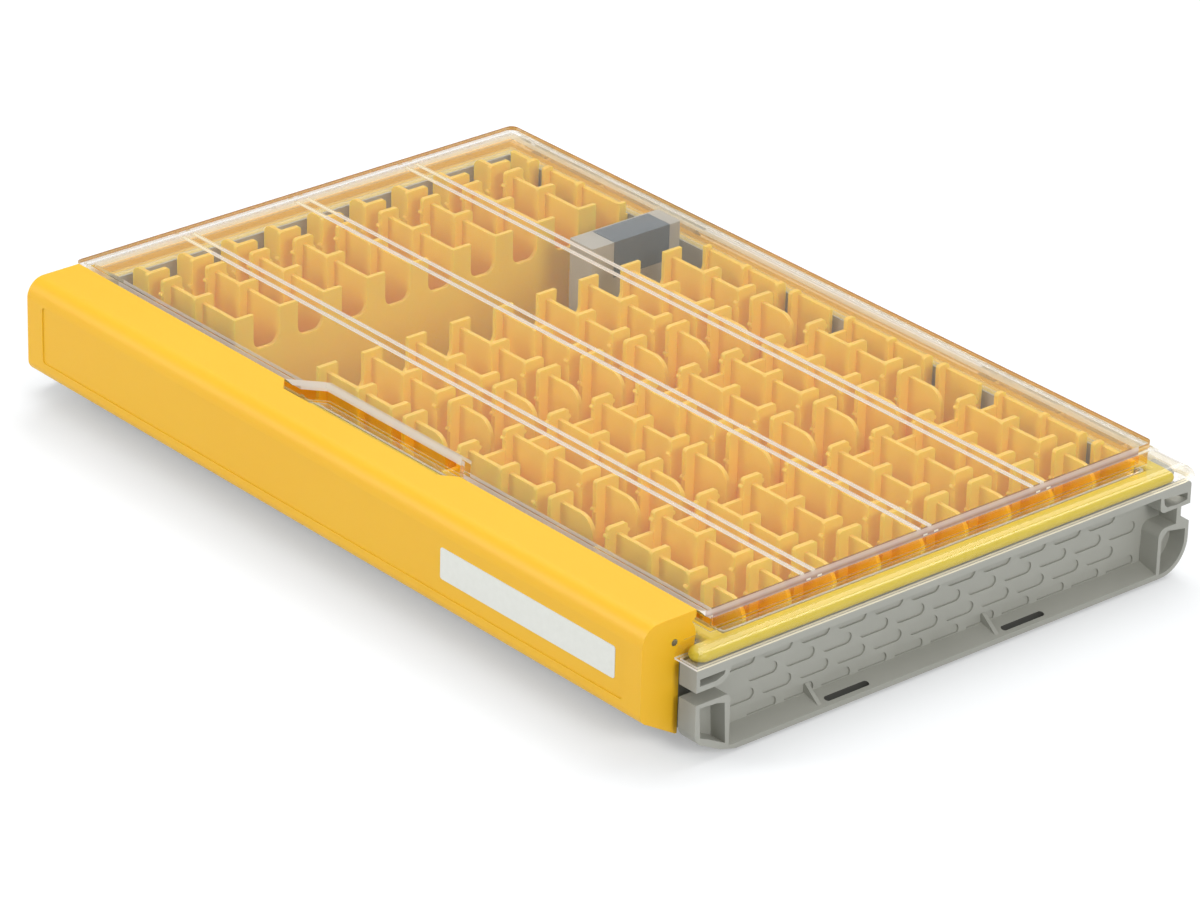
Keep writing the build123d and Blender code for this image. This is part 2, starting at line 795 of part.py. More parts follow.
# Yellow latch bar: a hollow channel with end caps that carry the pivots
latch_top_rear = top_front - latch_top_gap
with BuildPart() as latch_bar:
    with BuildSketch(Plane.YZ) as bar_section:
        with BuildLine():
            Line((latch_top_rear, case_height), (latch_y + latch_nose, case_height))
            RadiusArc(
                (latch_y + latch_nose, case_height),
                (latch_y, case_height - latch_nose),
                -latch_nose,
            )
            Line((latch_y, case_height - latch_nose), (latch_y, latch_chin_z))
            chin_end = (latch_y + latch_chin_in, latch_chin_z - latch_chin_drop)
            TangentArc((latch_y, latch_chin_z), chin_end, tangent=(0, -1))
            lobe_start = (
                latch_pin_at_y + 0.643 * latch_lobe_radius,
                latch_pin_at_z - 0.766 * latch_lobe_radius,
            )
            Polyline(
                chin_end,
                (latch_y + latch_bottom_y, latch_bottom_z),
                (latch_y + latch_rear_y, latch_bottom_z),
                (latch_y + latch_rear_y, seam_height - latch_lobe_drop),
                lobe_start,
            )
            ThreePointArc(
                lobe_start,
                (latch_pin_at_y + latch_lobe_radius, latch_pin_at_z),
                (
                    latch_pin_at_y + 0.809 * latch_lobe_radius,
                    latch_pin_at_z + 0.588 * latch_lobe_radius,
                ),
            )
            Polyline(
                (
                    latch_pin_at_y + 0.809 * latch_lobe_radius,
                    latch_pin_at_z + 0.588 * latch_lobe_radius,
                ),
                (latch_top_rear, case_height - latch_wall),
                (latch_top_rear, case_height),
            )
        make_face()
    extrude(amount=latch_half, both=True)

    # Hollow between the caps
    with BuildSketch(Plane.YZ) as bar_hollow:
        with BuildLine():
            inner_top = case_height - latch_wall
            inner_front = latch_y + latch_wall
            inner_nose = latch_nose - latch_wall
            Line((bay_y, inner_top), (inner_front + inner_nose, inner_top))
            RadiusArc(
                (inner_front + inner_nose, inner_top),
                (inner_front, inner_top - inner_nose),
                -inner_nose,
            )
            Polyline(
                (inner_front, inner_top - inner_nose),
                (inner_front, latch_chin_z + 0.2 * latch_wall),
                (inner_front + latch_chin_in, latch_chin_z - latch_chin_drop + 0.7 * latch_wall),
                (latch_y + latch_lip, latch_bottom_z + 1.1 * latch_wall),
                (latch_y + latch_lip, 0),
                (bay_y, 0),
                (bay_y, inner_top),
            )
        make_face()
    extrude(amount=cap_x, both=True, mode=Mode.SUBTRACT)

    # Hook ribs that catch under the tub's rail
    with BuildSketch(Plane.YZ) as hook:
        with BuildLine():
            Polyline(
                (inner_front - 0.5, hook_low - 6),
                (post_front - 4, hook_low - 3),
                (post_front - hook_clearance, hook_low),
                (post_front - hook_clearance, hook_high),
                (post_front - 5, hook_high + 1.5),
                (inner_front - 0.5, hook_high + 5),
                close=True,
            )
        make_face()
    for k in range(hook_count):
        hook_x = hook_pitch * (k - (hook_count - 1) / 2)
        extrude(
            hook.sketch.moved(Location((hook_x - hook_thickness / 2, 0, 0))),
            amount=hook_thickness,
        )

    # Thumb recess at the middle of the top edge
    with BuildSketch(Plane.XY.offset(inner_top - 1)) as thumb:
        with BuildLine():
            Polyline(
                (-thumb_flat / 2, latch_top_rear - thumb_depth),
                (thumb_flat / 2, latch_top_rear - thumb_depth),
                (thumb_mouth / 2, latch_top_rear),
                (thumb_mouth / 2, latch_top_rear + 1),
                (-thumb_mouth / 2, latch_top_rear + 1),
                (-thumb_mouth / 2, latch_top_rear),
                close=True,
            )
        make_face()
    extrude(amount=latch_wall + 2, mode=Mode.SUBTRACT)

    # Sunken panel on the front face, and the pivot bores
    with BuildSketch(Plane.XZ.offset(-latch_y)) as panel:
        with Locations((0, (panel_low + panel_high) / 2)):
            RectangleRounded(2 * (latch_half - panel_margin), panel_high - panel_low, panel_corner)
    extrude(amount=-panel_depth, mode=Mode.SUBTRACT)
    with BuildSketch(Plane.YZ) as pivot_bore:
        with Locations((latch_pin_at_y, latch_pin_at_z)):
            Circle(latch_pin_radius + pin_clearance)
    extrude(amount=latch_half, both=True, mode=Mode.SUBTRACT)
latch_bar.part.label = "latch_bar"
export_step(latch_bar.part, "parts/latch_bar.step")


# Blank white label stuck in the latch's panel
with BuildPart() as latch_label:
    with BuildSketch(Plane.XZ.offset(-panel_y)) as label_face:
        label_x = latch_half - label_end_gap - label_length / 2
        with Locations((label_x, panel_low + label_lift + label_height / 2)):
            RectangleRounded(label_length, label_height, label_corner)
    extrude(amount=label_thickness)
latch_label.part.label = "latch_label"
export_step(latch_label.part, "parts/latch_label.step")


def tab_faces(at_x, width, nub_drop):
    """Upright tabs of one rank, whole on each row and halved at the rear wall."""
    height = rack_tab_top - floor_top
    rear_height = rear_tab_top - floor_top
    with BuildSketch(Plane.YZ.offset(at_x)) as tabs:
        with Locations(*[(y, floor_top + height / 2) for y in row_y]):
            RectangleRounded(width, height, tab_corner)
        with Locations(*[(y, floor_top + tab_corner) for y in row_y]):
            Rectangle(width, 2 * tab_corner)
        if nub_drop > 0:
            with Locations(*[(y, rack_tab_top - nub_drop) for y in row_y]):
                RectangleRounded(width + 2 * nub_reach, nub_height, 0.49 * nub_height)
        with Locations((rear_row_face - width / 4, floor_top + rear_height / 2)):
            RectangleRounded(width / 2, rear_height, tab_corner)
    return tabs.sketch


def row_plan(start, end):
    """Plan of the row walls over one stretch along X."""
    with BuildSketch(Plane.XY.offset(floor_top)) as rows:
        with Locations(*[((start + end) / 2, y) for y in row_y]):
            Rectangle(abs(end - start), rack_wall)
    return rows.sketch


def arm_face(root, tip, tip_round):
    """Side view of a row's outer arm, its top rounded off at the free end."""
    with BuildSketch(Plane.XZ) as arm:
        with Locations(((root + tip) / 2, (floor_top + rack_wall_top) / 2)):
            Rectangle(abs(tip - root), rack_wall_top - floor_top)
        upper = arm.vertices().group_by(Axis.Y)[-1].sort_by(Axis.X)
        fillet(upper[-1] if tip > root else upper[0], radius=tip_round)
    return arm.sketch


def comb(start, side, tip, tip_round):
    """Row walls of one rack, built from its start towards the side given."""
    with BuildPart() as walls:
        extrude(row_plan(start, start + side * end_tab), amount=rack_wall_top - floor_top)
        root = start + side * cross_tab
        arm = arm_face(root, tip, tip_round)
        for y in row_y:
            extrude(arm.moved(Location((0, y + rack_wall / 2, 0))), amount=rack_wall)
        rear_height = rear_wall_top - floor_top
        for low_x, high_x in ((start, start + side * end_tab), (root, tip)):
            with Locations(((low_x + high_x) / 2, rear_row_face - rack_wall / 2, floor_top + rear_height / 2)):
                Box(abs(high_x - low_x), rack_wall, rear_height)
        thickness = side * tab_thickness
        extrude(tab_faces(start + side * mid_tab, tab_width, 0), amount=thickness)
        extrude(tab_faces(start + side * end_tab, tab_width, end_nub_drop), amount=thickness)
        extrude(tab_faces(root, cross_tab_width, cross_nub_drop), amount=thickness)
    return walls.part


def notched_wall(at_x):
    """Full-width wall with a round-bottomed opening between each pair of posts."""
    channel = rack_row_pitch - tab_width
    opening = 2 * (rack_tab_top - rack_notch_low)
    with BuildSketch(Plane.YZ.offset(at_x)) as wall:
        with Locations((rack_mid_y, (floor_top + rack_tab_top) / 2)):
            Rectangle(rack_width, rack_tab_top - floor_top)
        with Locations((rear_row_face + tab_width, rim_z + opening / 2)):
            Rectangle(2 * tab_width, opening, mode=Mode.SUBTRACT)
        with Locations((rear_row_face, rear_tab_top + opening / 2)):
            Rectangle(tab_width, opening, mode=Mode.SUBTRACT)
        for y in row_y:
            with Locations((y + rack_row_pitch / 2, rack_notch_low + opening / 2)):
                RectangleRounded(channel, opening, rack_notch_round, mode=Mode.SUBTRACT)
        with Locations((row_y[-1] - rack_row_pitch / 2, rack_notch_low + opening / 2)):
            RectangleRounded(channel, opening, rack_notch_round, mode=Mode.SUBTRACT)
    return wall.sketch


# Left rack: its notched wall bounds the middle compartment
left_comb = comb(left_start_x, -1, left_arm_gap - bore_x, left_arm_round)
with BuildPart() as lure_rack_left:
    left_floor = left_length - rack_clearance
    with Locations((left_start_x - left_floor / 2, rack_mid_y, floor_top + rack_floor / 2)):
        Box(left_floor, rack_width, rack_floor)
    extrude(notched_wall(left_start_x), amount=rack_wall)
    add(left_comb)
lure_rack_left.part.label = "lure_rack_left"
export_step(lure_rack_left.part, "parts/lure_rack_left.step")


# Right racks: a notched wall on the first, a low cross wall on the other two
floor_length = rack_pitch - rack_clearance
inner_comb = comb(inner_start_x, 1, middle_start_x - arm_gap, arm_round)
with BuildPart() as lure_rack_right_inner:
    with Locations((inner_start_x + floor_length / 2, rack_mid_y, floor_top + rack_floor / 2)):
        Box(floor_length, rack_width, rack_floor)
    extrude(notched_wall(inner_start_x), amount=rack_wall)
    add(inner_comb)
lure_rack_right_inner.part.label = "lure_rack_right_inner"
export_step(lure_rack_right_inner.part, "parts/lure_rack_right_inner.step")

cross_height = rack_tab_top - rack_cross_drop - floor_top
middle_comb = comb(middle_start_x, 1, outer_start_x - arm_gap, arm_round)
with BuildPart() as lure_rack_right_middle:
    with Locations((middle_start_x + floor_length / 2, rack_mid_y, floor_top + rack_floor / 2)):
        Box(floor_length, rack_width, rack_floor)
    with Locations((middle_start_x + rack_wall / 2, rack_mid_y, floor_top + cross_height / 2)):
        Box(rack_wall, rack_width, cross_height)
    extrude(tab_faces(middle_start_x, tab_width, start_nub_drop), amount=tab_thickness)
    add(middle_comb)
lure_rack_right_middle.part.label = "lure_rack_right_middle"
export_step(lure_rack_right_middle.part, "parts/lure_rack_right_middle.step")

outer_comb = comb(outer_start_x, 1, bore_x - outer_arm_gap, arm_round)
with BuildPart() as lure_rack_right_outer:
    outer_floor = outer_length - rack_clearance
    with Locations((outer_start_x + outer_floor / 2, rack_mid_y, floor_top + rack_floor / 2)):
        Box(outer_floor, rack_width, rack_floor)
    with Locations((outer_start_x + rack_wall / 2, rack_mid_y, floor_top + cross_height / 2)):
        Box(rack_wall, rack_width, cross_height)
    extrude(tab_faces(outer_start_x, tab_width, start_nub_drop), amount=tab_thickness)
    add(outer_comb)
lure_rack_right_outer.part.label = "lure_rack_right_outer"
export_step(lure_rack_right_outer.part, "parts/lure_rack_right_outer.step")


# Moisture absorber holder: an open case, its cover, the pack inside and a label
holder_x = left_start_x + rack_wall + holder_gap + holder_width / 2
holder_y = rear_row_face - holder_depth / 2
cover_low = holder_top - cover_thickness
with BuildPart() as desiccant_case:
    with BuildSketch(Plane.XY.offset(floor_top)) as case_plan:
        with Locations((holder_x, holder_y)):
            RectangleRounded(holder_width, holder_depth, holder_corner)
    extrude(amount=cover_low - floor_top)
    with BuildSketch(Plane.XY.offset(floor_top + holder_wall)) as case_bore:
        with Locations((holder_x, holder_y)):
            Rectangle(holder_width - 2 * holder_wall, holder_depth - 2 * holder_wall)
    extrude(amount=cover_low, mode=Mode.SUBTRACT)
desiccant_case.part.label = "desiccant_case"
export_step(desiccant_case.part, "parts/desiccant_case.step")

with BuildPart() as desiccant_cover:
    with BuildSketch(Plane.XY.offset(cover_low)) as cover_plan:
        with Locations((holder_x, holder_y)):
            RectangleRounded(holder_width, holder_depth, holder_corner)
    extrude(amount=cover_thickness)
desiccant_cover.part.label = "desiccant_cover"
export_step(desiccant_cover.part, "parts/desiccant_cover.step")

with BuildPart() as desiccant_pack:
    pack_width = holder_width - 2 * (holder_wall + pack_clearance)
    pack_depth = holder_depth - 2 * (holder_wall + pack_clearance)
    pack_low = floor_top + holder_wall
    pack_height = cover_low - pack_clearance - pack_low
    with Locations((holder_x, holder_y, pack_low + pack_height / 2)):
        Box(pack_width, pack_depth, pack_height)
    fillet(desiccant_pack.edges().filter_by(Axis.Z), radius=pack_corner)
desiccant_pack.part.label = "desiccant_pack"
export_step(desiccant_pack.part, "parts/desiccant_pack.step")

with BuildPart() as desiccant_label:
    holder_side = holder_x + holder_width / 2
    label_front = holder_y - holder_depth / 2 + holder_label_start
    with BuildSketch(Plane.XZ.offset(-label_front - holder_label_length)) as strip:
        with BuildLine():
            Polyline(
                (holder_x - holder_width / 2 + holder_corner, holder_top),
                (holder_side, holder_top),
                (holder_side, holder_top - holder_label_drop),
                (holder_side + holder_label_thickness, holder_top - holder_label_drop),
                (holder_side + holder_label_thickness, holder_top + holder_label_thickness),
                (holder_x - holder_width / 2 + holder_corner, holder_top + holder_label_thickness),
                close=True,
            )
        make_face()
    extrude(amount=holder_label_length)
desiccant_label.part.label = "desiccant_label"
export_step(desiccant_label.part, "parts/desiccant_label.step")
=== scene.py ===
import math
import bpy
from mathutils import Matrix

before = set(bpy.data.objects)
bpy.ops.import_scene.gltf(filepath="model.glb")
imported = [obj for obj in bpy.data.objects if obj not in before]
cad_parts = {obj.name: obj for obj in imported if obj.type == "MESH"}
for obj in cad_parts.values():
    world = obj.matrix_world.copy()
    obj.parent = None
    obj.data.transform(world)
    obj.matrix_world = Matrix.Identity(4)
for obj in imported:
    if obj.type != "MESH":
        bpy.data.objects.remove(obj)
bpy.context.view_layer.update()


# The box stands on a plain white sheet under a wide soft light from above and
# behind, a window-sized panel on the left and a smaller one by the camera.  The
# lens is long, so the box's far end is hardly smaller than its near end.
camera_data = bpy.data.cameras.new("camera")
camera_data.lens = 182.5
camera_data.sensor_width = 36
camera_data.clip_end = 50
camera = bpy.data.objects.new("camera", camera_data)
camera.location = (1.44789, -1.25544, 0.95739)
camera.rotation_euler = [math.radians(turn) for turn in (63.7373, -1.3832, 49.6088)]
bpy.context.collection.objects.link(camera)
bpy.context.scene.camera = camera
bpy.context.scene.view_settings.view_transform = "Standard"


class Wire:
    """One value in a finish's nodes; arithmetic on it adds Math nodes."""

    def __init__(self, finish, socket):
        self.finish = finish
        self.socket = socket

    def __add__(self, other):
        return self.finish.math("ADD", self, other)

    def __radd__(self, other):
        return self.finish.math("ADD", other, self)

    def __sub__(self, other):
        return self.finish.math("SUBTRACT", self, other)

    def __rsub__(self, other):
        return self.finish.math("SUBTRACT", other, self)

    def __mul__(self, other):
        return self.finish.math("MULTIPLY", self, other)

    def __rmul__(self, other):
        return self.finish.math("MULTIPLY", other, self)

    def __pow__(self, other):
        return self.finish.math("POWER", self, other)

    def __rpow__(self, other):
        return self.finish.math("POWER", other, self)


class Finish:
    """A surface finish: a material whose nodes are added one by one."""

    def __init__(self, name, **constants):
        self.material = bpy.data.materials.new(name)
        self.material.use_nodes = True
        self.tree = self.material.node_tree
        self.shader = self.tree.nodes["Principled BSDF"]
        self.output = self.tree.nodes["Material Output"]
        self.feed(**constants)

    def node(self, kind, settings, sockets, output=0):
        """Adds any node, with its settings and inputs, and gives one of its outputs."""
        made = self.tree.nodes.new(kind)
        for name, value in settings.items():
            if name == "stops":
                elements = made.color_ramp.elements
                while len(elements) < len(value):
                    elements.new(0.5)
                for element, (position, colour) in zip(elements, value):
                    element.position = position
                    element.color = colour
            elif name == "interpolation":
                made.color_ramp.interpolation = value
            else:
                setattr(made, name, value)
        for name, value in sockets.items():
            self.plug(made.inputs[name], value)
        return Wire(self, made.outputs[output])

    def plug(self, socket, value):
        if isinstance(value, Wire):
            self.tree.links.new(value.socket, socket)
        else:
            socket.default_value = value

    def feed(self, **sockets):
        """Sets or links inputs of the finish's own shader, by name."""
        for label, value in sockets.items():
            self.plug(self.shader.inputs[label.replace("_", " ")], value)

    def math(self, operation, *values, clamp=False):
        settings = {"operation": operation, "use_clamp": clamp}
        return self.node("ShaderNodeMath", settings, dict(enumerate(values)))

    def near(self, value, centre, reach):
        """1 where a value is within reach of the centre, 0 elsewhere."""
        return self.math("COMPARE", value, centre, reach)

    def axis(self, vector, letter):
        return self.node("ShaderNodeSeparateXYZ", {}, {0: vector}, letter)

    def place(self):
        """Position on the object in metres."""
        return self.node("ShaderNodeTexCoord", {}, {}, "Object")

    def normal(self):
        """Direction that the surface faces, turning with the object."""
        return self.node("ShaderNodeTexCoord", {}, {}, "Normal")

    def upright(self):
        """1 on faces that stand within 30 degrees of upright, 0 elsewhere."""
        return self.near(self.axis(self.normal(), "Z"), 0.0, 0.5)

    def ray(self, kind):
        """1 for rays of one kind, such as Camera or Diffuse, 0 for the others."""
        return self.node("ShaderNodeLightPath", {}, {}, f"Is {kind} Ray")

    def noise(self, scale, detail):
        sockets = {"Vector": self.place(), "Scale": scale, "Detail": detail}
        return self.node("ShaderNodeTexNoise", {}, sockets)

    def blend(self, factor, first, second):
        settings = {"data_type": "RGBA"}
        return self.node("ShaderNodeMix", settings, {0: factor, 6: first, 7: second}, 2)

    def ramp(self, value, stops, interpolation="LINEAR"):
        """Turns a value into a colour by stops of position and colour."""
        settings = {"stops": stops, "interpolation": interpolation}
        return self.node("ShaderNodeValToRGB", settings, {0: value})

    def mix_shaders(self, factor, first, second):
        return self.node("ShaderNodeMixShader", {}, {0: factor, 1: first, 2: second})

    def bump(self, height, strength, distance):
        sockets = {"Height": height, "Strength": strength, "Distance": distance}
        return self.node("ShaderNodeBump", {}, sockets)


def rgb(red, green, blue):
    """A colour written as it shows on screen, 0 to 255, as the shader wants it."""
    linear = []
    for level in (red, green, blue):
        level = level / 255
        linear.append(level / 12.92 if level <= 0.04045 else ((level + 0.055) / 1.055) ** 2.4)
    return (*linear, 1.0)


black = rgb(0, 0, 0)
sheet_reach = 6
sheet_corners = [(-1, -1), (1, -1), (1, 1), (-1, 1)]
sheet_mesh = bpy.data.meshes.new("white_sheet")
sheet_mesh.from_pydata(
    [(sheet_reach * x, sheet_reach * y, 0) for x, y in sheet_corners], [], [(0, 1, 2, 3)]
)
sheet = bpy.data.objects.new("white_sheet", sheet_mesh)
bpy.context.collection.objects.link(sheet)

# Where the sheet is seen or mirrored it also shines by itself, so that it is white.
# This glow is a quarter less under the box and close beside it, a painted contact
# shadow, so that the sheet keeps its shadow.
sheet_finish = Finish("white_sheet", Roughness=0.7, Specular_IOR_Level=0.1, Emission_Strength=1.0)
sheet_finish.feed(Base_Color=rgb(213, 215, 217))
looked_at = (
    sheet_finish.ray("Camera") + sheet_finish.ray("Glossy") + sheet_finish.ray("Transmission")
)
shade_reach = 0.05
openness = sheet_finish.node("ShaderNodeAmbientOcclusion", {}, {"Distance": shade_reach}, "AO")
openness = sheet_finish.math("MULTIPLY", openness, 1.5, clamp=True)
shine = looked_at * (0.75 + openness * 0.25)
sheet_finish.feed(Emission_Color=sheet_finish.blend(shine, black, rgb(158, 158, 158)))
sheet_mesh.materials.append(sheet_finish.material)

# The room round the sheet: dim for the light that falls on the box, dimmer where
# it mirrors in the lid, and plain white where it is seen.
world = bpy.data.worlds.new("studio")
world.use_nodes = True
bpy.context.scene.world = world
world_nodes = world.node_tree.nodes
link = world.node_tree.links.new
white = (1.0, 1.0, 1.0, 1.0)
room = world_nodes["Background"]
mirrored_room = world_nodes.new("ShaderNodeBackground")
backdrop = world_nodes.new("ShaderNodeBackground")
for background, strength in ((room, 0.42), (mirrored_room, 0.3), (backdrop, 1.0)):
    background.inputs["Color"].default_value = white
    background.inputs["Strength"].default_value = strength
ray = world_nodes.new("ShaderNodeLightPath")
unseen_room = world_nodes.new("ShaderNodeMixShader")
link(ray.outputs["Is Glossy Ray"], unseen_room.inputs[0])
link(room.outputs[0], unseen_room.inputs[1])
link(mirrored_room.outputs[0], unseen_room.inputs[2])
straight = world_nodes.new("ShaderNodeMath")
straight.operation = "ADD"
link(ray.outputs["Is Camera Ray"], straight.inputs[0])
link(ray.outputs["Is Transmission Ray"], straight.inputs[1])
whole_room = world_nodes.new("ShaderNodeMixShader")
link(straight.outputs[0], whole_room.inputs[0])
link(unseen_room.outputs[0], whole_room.inputs[1])
link(backdrop.outputs[0], whole_room.inputs[2])
link(whole_room.outputs[0], world_nodes["World Output"].inputs[0])


def panel_light(name, place, size, power):
    """A soft square panel that faces the box."""
    light = bpy.data.lights.new(name, "AREA")
    light.shape = "RECTANGLE"
    light.size, light.size_y = size
    light.energy = power
    lamp = bpy.data.objects.new(name, light)
    lamp.location = place
    x, y, z = place
    lamp.rotation_euler = (math.atan2(math.hypot(x, y), z), 0, math.atan2(x, -y))
    bpy.context.collection.objects.link(lamp)


panel_light("overhead", place=(-0.5, 1.0, 2.2), size=(2.4, 1.8), power=37)
panel_light("left_window", place=(-1.6, -2.2, 1.5), size=(1.2, 1.0), power=36)
panel_light("by_camera", place=(2.6, -0.5, 1.5), size=(1.0, 0.9), power=32)


# The tub is one moulding in warm grey plastic with a fine spark-eroded grain:
# floor, walls, end frames with their pockets, seal seat, rail and knuckles.
# Its end walls carry rows of sunk capsules and its foot a thin flat pad.
tub_plastic = Finish("tub_plastic")
grain = tub_plastic.noise(scale=2600, detail=2.0)
cloud = tub_plastic.noise(scale=38, detail=3.0)

# The upright walls inside the drain slots in the foot flanges are painted dark, a painted shade
# for the shadow in the slots
drain_x, drain_half_width = 0.1764, 0.0014
drain_ys, drain_half_length = (-0.037, 0.0432), 0.0098
outward = tub_plastic.math("ABSOLUTE", tub_plastic.axis(tub_plastic.place(), "X"))
tub_y = tub_plastic.axis(tub_plastic.place(), "Y")
front_drains, rear_drains = [tub_plastic.near(tub_y, y, drain_half_length) for y in drain_ys]
drain_shade = (front_drains + rear_drains) * tub_plastic.near(outward, drain_x, drain_half_width)
drain_shade = drain_shade * tub_plastic.upright()
tub_plastic.feed(
    Base_Color=tub_plastic.blend(
        drain_shade * 0.9,
        tub_plastic.blend(cloud, rgb(164, 164, 155), rgb(176, 176, 167)),
        rgb(52, 52, 48),
    ),
    Roughness=0.42 + grain * 0.2,
    Normal=tub_plastic.bump(grain, strength=0.25, distance=0.00012),
)


def paint(finish, *names):
    """Gives a finish to the frame's own pieces."""
    for name in names:
        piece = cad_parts[name]
        piece.data.materials.clear()
        piece.data.materials.append(finish.material)


def soften(*names, width):
    """Rounds the moulded edges of the frame's own pieces, by width in metres."""
    for name in names:
        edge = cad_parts[name].modifiers.new("moulded_edges", "BEVEL")
        edge.width = width
        edge.segments = 2
        edge.limit_method = "ANGLE"
        edge.angle_limit = math.radians(40)
        edge.harden_normals = True


paint(tub_plastic, "base_tub")
soften("base_tub", width=0.00025)


# The comb racks are injection moulded in translucent amber plastic: low walls in
# rows with upright tabs, standing on a thin floor that drops into the tub.  Light
# wanders in the plastic a little, and a painted glow, a faint warm emission, makes
# all of it glow more; painted shade turns the low parts more orange and the upward
# faces darker.
rack_plastic = Finish(
    "rack_plastic",
    Specular_IOR_Level=0.35,
    Subsurface_Weight=0.5,
    Subsurface_Scale=0.004,
    Subsurface_Radius=(1.0, 0.55, 0.15),
    # A painted glow: faint warm light that the plastic gives off by itself
    Emission_Color=rgb(48, 32, 8),
    Emission_Strength=1.0,
)
# Painted shade: the colour runs from a deeper orange low down to a lighter yellow high up
rack_low, rack_high = 0.006, 0.044
depth_shade_rise = rack_plastic.node(
    "ShaderNodeMapRange",
    {"interpolation_type": "SMOOTHSTEP"},
    {
        "Value": rack_plastic.axis(rack_plastic.place(), "Z"),
        "From Min": rack_low,
        "From Max": rack_high,
    },
)
flow = rack_plastic.noise(scale=60, detail=3.0)
skin = rack_plastic.noise(scale=900, detail=2.0)
amber = rack_plastic.blend(depth_shade_rise * 0.85 + flow * 0.15, rgb(249, 196, 50), rgb(249, 214, 76))
# Painted shade: faces that look up are darker, which tones down the light from above
top_shade = rack_plastic.math("MAXIMUM", rack_plastic.axis(rack_plastic.normal(), "Z"), 0.0)
rack_plastic.feed(
    Base_Color=rack_plastic.blend(top_shade * 0.6, amber, rgb(232, 178, 74)),
    Roughness=0.42 + flow * 0.12,
    Normal=rack_plastic.bump(skin, strength=0.08, distance=0.0001),
)
racks = (
    "lure_rack_left",
    "lure_rack_right_inner",
    "lure_rack_right_middle",
    "lure_rack_right_outer",
)
paint(rack_plastic, *racks)
soften(*racks, width=0.0003)


# The drying holder stands at the rear of the open compartment: a smoke-grey case
# and cover round a white pack of crystals.  A slate label, left blank, is folded
# from its top over the side that faces the racks.
holder_plastic = Finish("holder_plastic", IOR=1.49, Alpha=0.82)
haze = holder_plastic.noise(scale=70, detail=3.0)
holder_plastic.feed(
    Base_Color=holder_plastic.blend(haze, rgb(176, 174, 166), rgb(196, 194, 186)),
    Roughness=0.25 + haze * 0.2,
)
paint(holder_plastic, "desiccant_case", "desiccant_cover")
pack_cloth = Finish("pack_cloth", Roughness=0.9)
weave = pack_cloth.noise(scale=1400, detail=2.0)
pack_cloth.feed(
    Base_Color=pack_cloth.blend(weave, rgb(214, 211, 202), rgb(236, 234, 226)),
    Normal=pack_cloth.bump(weave, strength=0.4, distance=0.0002),
)
paint(pack_cloth, "desiccant_pack")
slate_film = Finish("slate_film")
ink = slate_film.noise(scale=120, detail=3.0)
slate_film.feed(
    Base_Color=slate_film.blend(ink, rgb(74, 86, 96), rgb(86, 98, 107)),
    Roughness=0.36 + ink * 0.12,
)
paint(slate_film, "desiccant_label")


# The lid is one clear moulding with a trace of warm grey where the light runs
# along it: top plate with three pairs of ribs and a window at the front, upright
# walls, a rounded ledge, two ears for the latch and arms for the hinge.
lid_clear = Finish(
    "lid_clear",
    IOR=1.06,
    Transmission_Weight=1.0,
    Coat_IOR=1.5,
    Coat_Roughness=0.03,
)
along, across, height = [lid_clear.axis(lid_clear.place(), letter) for letter in "XYZ"]
endwards, rearwards = [lid_clear.axis(lid_clear.normal(), letter) for letter in "XY"]
upright = lid_clear.upright()

# The plastic itself is near white and clear; its walls' lower half is painted amber, painted
# light that stands in for the racks' colour showing through them
wall_middle, wall_half_height = 0.0434, 0.0024
walls = lid_clear.near(height, wall_middle, wall_half_height) * upright
scuff = lid_clear.noise(scale=24, detail=4.0)
ripple = lid_clear.noise(scale=16, detail=1.0)
edge_on = lid_clear.node("ShaderNodeLayerWeight", {}, {"Blend": 0.5}, "Facing")
plain = lid_clear.blend(edge_on**4.0, rgb(253, 251, 248), rgb(214, 192, 180))
lid_clear.feed(
    Base_Color=lid_clear.blend(walls, plain, rgb(255, 212, 140)),
    Roughness=0.01 + scuff * 0.03,
    Coat_Weight=0.8 + scuff * 0.2,
    Normal=lid_clear.bump(ripple, strength=0.05, distance=0.0004),
)

# Three pairs of narrow ribs under the top plate, each painted as a pale line, a painted highlight
rib_reach = 0.002425
rib_half_width = 0.00095
rib_middle, rib_half_height = 0.04743, 0.00035
rib_highlights = 0.0
for pair_y in (-0.04855, 0.00345, 0.05515):
    for rib_y in (pair_y - rib_reach, pair_y + rib_reach):
        rib_highlights = rib_highlights + lid_clear.near(across, rib_y, rib_half_width)
rib_highlights = rib_highlights * lid_clear.near(height, rib_middle, rib_half_height)

# Upright faces get painted light in pale bands, painted highlights and reflections,
# one at the seam, one at the walls' foot and one at the top plate, by their level
# from the ledge (0) to the top (1).  Part of the top band is a darker mauve, a
# painted shade.
ledge_z, lid_rise = 0.0351, 0.0148
level = (height - ledge_z) * (1 / lid_rise)


def share(amount):
    """A grey that a ramp gives as a share from 0 to 1."""
    return (amount, amount, amount, 1)


seam_and_foot = ((0.0, share(0.85)), (0.045, share(0.0)), (0.385, share(0.4)), (0.42, share(0.0)))
near_band = lid_clear.ramp(level, (*seam_and_foot, (0.73, share(0.68))), "CONSTANT")
near_colour = lid_clear.ramp(
    level,
    (
        (0.0, rgb(252, 242, 214)),
        (0.35, rgb(210, 198, 190)),
        (0.72, rgb(196, 172, 166)),
        (0.84, rgb(148, 116, 112)),
        (0.93, rgb(218, 198, 192)),
    ),
)

